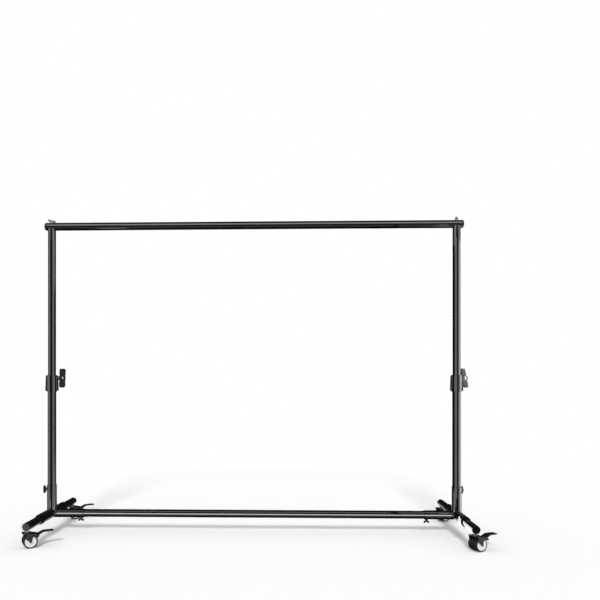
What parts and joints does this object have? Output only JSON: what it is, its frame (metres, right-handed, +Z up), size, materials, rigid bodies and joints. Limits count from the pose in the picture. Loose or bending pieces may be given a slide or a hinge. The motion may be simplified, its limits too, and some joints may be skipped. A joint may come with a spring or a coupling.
{
  "type": "background support stand",
  "caption": "Rolling backdrop stand with telescoping uprights, a top crossbar on saddles and T-shaped bases on braked swivel casters.",
  "frame": {"origin": "on the floor, midway between the two uprights and below the crossbars", "axes": "+X along the crossbars to the right upright, +Y to the back, +Z up"},
  "size_m": [2.0768, 0.6609, 1.5025],
  "materials": {
    "tube_paint": "glossy",
    "base_paint": "glossy",
    "joining_tube": "satin",
    "bright_steel": "polished",
    "dark_steel": "satin",
    "collar_plastic": "satin",
    "knob_plastic": "matte",
    "cap_plastic": "satin",
    "fork_plastic": "satin",
    "hub_plastic": "glossy",
    "tyre_rubber": "matte",
    "pedal_plastic": "satin"
  },
  "bodies": {
    "frame_base": {"bottom_bar_joint": "joining_tube", "left_base_fitting": "base_paint", "left_foot_tube": "tube_paint", "left_foot_caps": "cap_plastic", "left_lower_post": "tube_paint", "left_post_stop": "cap_plastic", "left_clamp_collar": "collar_plastic", "bottom_bar_left": "tube_paint", "right_base_fitting": "base_paint", "right_foot_tube": "tube_paint", "right_foot_caps": "cap_plastic", "right_lower_post": "tube_paint", "right_post_stop": "cap_plastic", "right_clamp_collar": "collar_plastic", "bottom_bar_right": "tube_paint", "front_left_caster_stem": "bright_steel", "front_right_caster_stem": "bright_steel", "rear_left_caster_stem": "bright_steel", "rear_right_caster_stem": "bright_steel"},
    "upper_frame": {"top_bar_joint": "joining_tube", "top_bar_caps": "cap_plastic", "left_upper_post": "tube_paint", "left_saddle": "base_paint", "left_saddle_bolt": "bright_steel", "top_bar_left": "tube_paint", "right_upper_post": "tube_paint", "right_saddle": "base_paint", "right_saddle_bolt": "bright_steel", "top_bar_right": "tube_paint"},
    "left_clamp": {"left_clamp_screw": "bright_steel", "left_clamp_knob": "knob_plastic"},
    "left_post_screw": {"left_post_screw": "knob_plastic"},
    "left_bar_screw": {"left_bar_screw": "bright_steel"},
    "left_wing_nut": {"left_wing_nut": "bright_steel"},
    "right_clamp": {"right_clamp_screw": "bright_steel", "right_clamp_knob": "knob_plastic"},
    "right_post_screw": {"right_post_screw": "knob_plastic"},
    "right_bar_screw": {"right_bar_screw": "bright_steel"},
    "right_wing_nut": {"right_wing_nut": "bright_steel"},
    "front_left_swivel": {"front_left_caster_fork": "fork_plastic", "front_left_caster_pins": "dark_steel"},
    "front_left_wheel": {"front_left_caster_hub": "hub_plastic", "front_left_caster_tyre": "tyre_rubber"},
    "front_left_brake": {"front_left_caster_pedal": "pedal_plastic"},
    "front_right_swivel": {"front_right_caster_fork": "fork_plastic", "front_right_caster_pins": "dark_steel"},
    "front_right_wheel": {"front_right_caster_hub": "hub_plastic", "front_right_caster_tyre": "tyre_rubber"},
    "front_right_brake": {"front_right_caster_pedal": "pedal_plastic"},
    "rear_left_swivel": {"rear_left_caster_fork": "fork_plastic", "rear_left_caster_pins": "dark_steel"},
    "rear_left_wheel": {"rear_left_caster_hub": "hub_plastic", "rear_left_caster_tyre": "tyre_rubber"},
    "rear_left_brake": {"rear_left_caster_pedal": "pedal_plastic"},
    "rear_right_swivel": {"rear_right_caster_fork": "fork_plastic", "rear_right_caster_pins": "dark_steel"},
    "rear_right_wheel": {"rear_right_caster_hub": "hub_plastic", "rear_right_caster_tyre": "tyre_rubber"},
    "rear_right_brake": {"rear_right_caster_pedal": "pedal_plastic"}
  },
  "joints": [
    {"name": "height_slide", "type": "slide", "parent": "frame_base", "child": "upper_frame", "axis": [0, 0, 1], "range_m": [0, 0.512]},
    {"name": "left_clamp_turn", "type": "hinge", "parent": "frame_base", "child": "left_clamp", "pos_m": [-0.9675, 0, 0.7405], "axis": [0.8829, 0.4695, 0], "range_deg": [0, 270]},
    {"name": "left_post_screw_turn", "type": "hinge", "parent": "frame_base", "child": "left_post_screw", "pos_m": [-0.9675, 0, 0.208], "axis": [-0.8829, -0.4695, 0], "range_deg": [0, 270]},
    {"name": "left_bar_screw_turn", "type": "hinge", "parent": "frame_base", "child": "left_bar_screw", "pos_m": [-0.8255, 0, 0.066], "axis": [0, 0, -1], "range_deg": [0, 270]},
    {"name": "left_wing_nut_turn", "type": "hinge", "parent": "upper_frame", "child": "left_wing_nut", "pos_m": [-0.9675, 0, 1.4885], "axis": [0, 0, 1], "range_deg": [0, 270]},
    {"name": "right_clamp_turn", "type": "hinge", "parent": "frame_base", "child": "right_clamp", "pos_m": [0.9675, 0, 0.7405], "axis": [0.8829, 0.4695, 0], "range_deg": [0, 270]},
    {"name": "right_post_screw_turn", "type": "hinge", "parent": "frame_base", "child": "right_post_screw", "pos_m": [0.9675, 0, 0.208], "axis": [0.8829, 0.4695, 0], "range_deg": [0, 270]},
    {"name": "right_bar_screw_turn", "type": "hinge", "parent": "frame_base", "child": "right_bar_screw", "pos_m": [0.8255, 0, 0.066], "axis": [0, 0, -1], "range_deg": [0, 270]},
    {"name": "right_wing_nut_turn", "type": "hinge", "parent": "upper_frame", "child": "right_wing_nut", "pos_m": [0.9675, 0, 1.4885], "axis": [0, 0, 1], "range_deg": [0, 270]},
    {"name": "front_left_swivel_turn", "type": "hinge", "parent": "frame_base", "child": "front_left_swivel", "pos_m": [-0.9675, -0.28, 0.068], "axis": [0, 0, 1], "continuous": true},
    {"name": "front_left_wheel_spin", "type": "hinge", "parent": "front_left_swivel", "child": "front_left_wheel", "pos_m": [-0.95817, -0.27417, 0.03], "axis": [-0.5299, 0.848, 0], "continuous": true},
    {"name": "front_left_brake_lift", "type": "hinge", "parent": "front_left_swivel", "child": "front_left_brake", "pos_m": [-0.93196, -0.25779, 0.05245], "axis": [0.5299, -0.848, 0], "range_deg": [0, 4]},
    {"name": "front_right_swivel_turn", "type": "hinge", "parent": "frame_base", "child": "front_right_swivel", "pos_m": [0.9675, -0.28, 0.068], "axis": [0, 0, 1], "continuous": true},
    {"name": "front_right_wheel_spin", "type": "hinge", "parent": "front_right_swivel", "child": "front_right_wheel", "pos_m": [0.97747, -0.27535, 0.03], "axis": [-0.4226, 0.9063, 0], "continuous": true},
    {"name": "front_right_brake_lift", "type": "hinge", "parent": "front_right_swivel", "child": "front_right_brake", "pos_m": [1.00548, -0.26229, 0.05245], "axis": [0.4226, -0.9063, 0], "range_deg": [0, 4]},
    {"name": "rear_left_swivel_turn", "type": "hinge", "parent": "frame_base", "child": "rear_left_swivel", "pos_m": [-0.9675, 0.28, 0.068], "axis": [0, 0, 1], "continuous": true},
    {"name": "rear_left_wheel_spin", "type": "hinge", "parent": "rear_left_swivel", "child": "rear_left_wheel", "pos_m": [-0.95817, 0.28583, 0.03], "axis": [-0.5299, 0.848, 0], "continuous": true},
    {"name": "rear_left_brake_lift", "type": "hinge", "parent": "rear_left_swivel", "child": "rear_left_brake", "pos_m": [-0.93196, 0.30221, 0.05245], "axis": [0.5299, -0.848, 0], "range_deg": [0, 4]},
    {"name": "rear_right_swivel_turn", "type": "hinge", "parent": "frame_base", "child": "rear_right_swivel", "pos_m": [0.9675, 0.28, 0.068], "axis": [0, 0, 1], "continuous": true},
    {"name": "rear_right_wheel_spin", "type": "hinge", "parent": "rear_right_swivel", "child": "rear_right_wheel", "pos_m": [0.97747, 0.28465, 0.03], "axis": [-0.4226, 0.9063, 0], "continuous": true},
    {"name": "rear_right_brake_lift", "type": "hinge", "parent": "rear_right_swivel", "child": "rear_right_brake", "pos_m": [1.00548, 0.29771, 0.05245], "axis": [0.4226, -0.9063, 0], "range_deg": [0, 4]}
  ]
}
